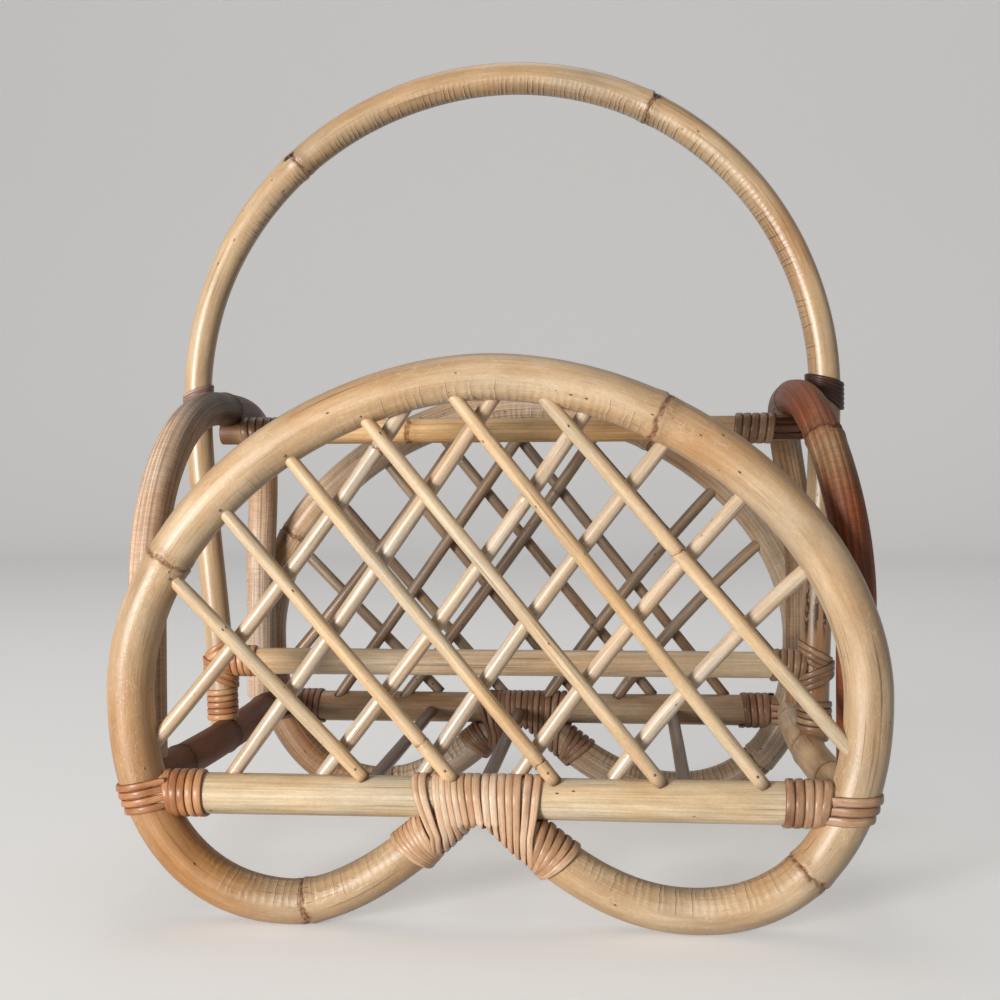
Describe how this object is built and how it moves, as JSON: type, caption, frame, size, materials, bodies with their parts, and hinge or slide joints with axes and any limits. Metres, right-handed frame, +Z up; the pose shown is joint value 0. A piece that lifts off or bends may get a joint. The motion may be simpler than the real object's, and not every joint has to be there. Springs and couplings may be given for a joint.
{
  "type": "magazine basket",
  "caption": "Open rattan magazine basket: two arched lattice panels on foot lobes, arched ends, divider rails and a fixed hoop handle, all lashed with cane.",
  "frame": {"origin": "on the floor, under the middle of the basket's outer box", "axes": "+X along the panels to the right, +Y from the front panel to the back one, +Z up"},
  "size_m": [0.4358, 0.3192, 0.5132],
  "materials": {
    "frame_pole": "clear varnish, honey",
    "rail_pole": "clear varnish, straw",
    "lattice_rod": "clear varnish, pale straw",
    "handle_pole": "clear varnish, honey",
    "divider_pole": "clear varnish, olive straw",
    "side_arch_pole": "clear varnish, brown",
    "base_bar_pole": "dull dark brown",
    "floor_rod": "dull straw",
    "cane_lashing": "split cane, orange tan, satin",
    "nail": "dull, darkened"
  },
  "bodies": {
    "root": {"front_frame": "frame_pole", "front_rail": "rail_pole", "front_falling_rod_1": "lattice_rod", "front_falling_rod_2": "lattice_rod", "front_falling_rod_3": "lattice_rod", "front_falling_rod_4": "lattice_rod", "front_falling_rod_5": "lattice_rod", "front_falling_rod_6": "lattice_rod", "front_rising_rod_1": "lattice_rod", "front_rising_rod_2": "lattice_rod", "front_rising_rod_3": "lattice_rod", "front_rising_rod_4": "lattice_rod", "front_rising_rod_5": "lattice_rod", "front_rising_rod_6": "lattice_rod", "front_centre_lashing": "cane_lashing", "front_left_lobe_lashing": "cane_lashing", "front_left_rail_lashing": "cane_lashing", "front_left_corner_straps": "cane_lashing", "front_right_lobe_lashing": "cane_lashing", "front_right_rail_lashing": "cane_lashing", "front_right_corner_straps": "cane_lashing", "back_frame": "frame_pole", "back_rail": "rail_pole", "back_falling_rod_1": "lattice_rod", "back_falling_rod_2": "lattice_rod", "back_falling_rod_3": "lattice_rod", "back_falling_rod_4": "lattice_rod", "back_falling_rod_5": "lattice_rod", "back_falling_rod_6": "lattice_rod", "back_rising_rod_1": "lattice_rod", "back_rising_rod_2": "lattice_rod", "back_rising_rod_3": "lattice_rod", "back_rising_rod_4": "lattice_rod", "back_rising_rod_5": "lattice_rod", "back_rising_rod_6": "lattice_rod", "back_centre_lashing": "cane_lashing", "back_left_lobe_lashing": "cane_lashing", "back_left_rail_lashing": "cane_lashing", "back_left_corner_straps": "cane_lashing", "back_right_lobe_lashing": "cane_lashing", "back_right_rail_lashing": "cane_lashing", "back_right_corner_straps": "cane_lashing", "handle": "handle_pole", "middle_divider_rail": "divider_pole", "top_divider_rail": "divider_pole", "left_side_arch": "side_arch_pole", "left_base_bar": "base_bar_pole", "left_foot_lashing": "cane_lashing", "left_crossing_lashing": "cane_lashing", "left_middle_rail_lashing": "cane_lashing", "left_top_rail_lashing": "cane_lashing", "right_side_arch": "side_arch_pole", "right_base_bar": "base_bar_pole", "right_foot_lashing": "cane_lashing", "right_crossing_lashing": "cane_lashing", "right_middle_rail_lashing": "cane_lashing", "right_top_rail_lashing": "cane_lashing", "floor_rod_1": "floor_rod", "floor_rod_2": "floor_rod", "floor_rod_3": "floor_rod"}
  },
  "joints": []
}
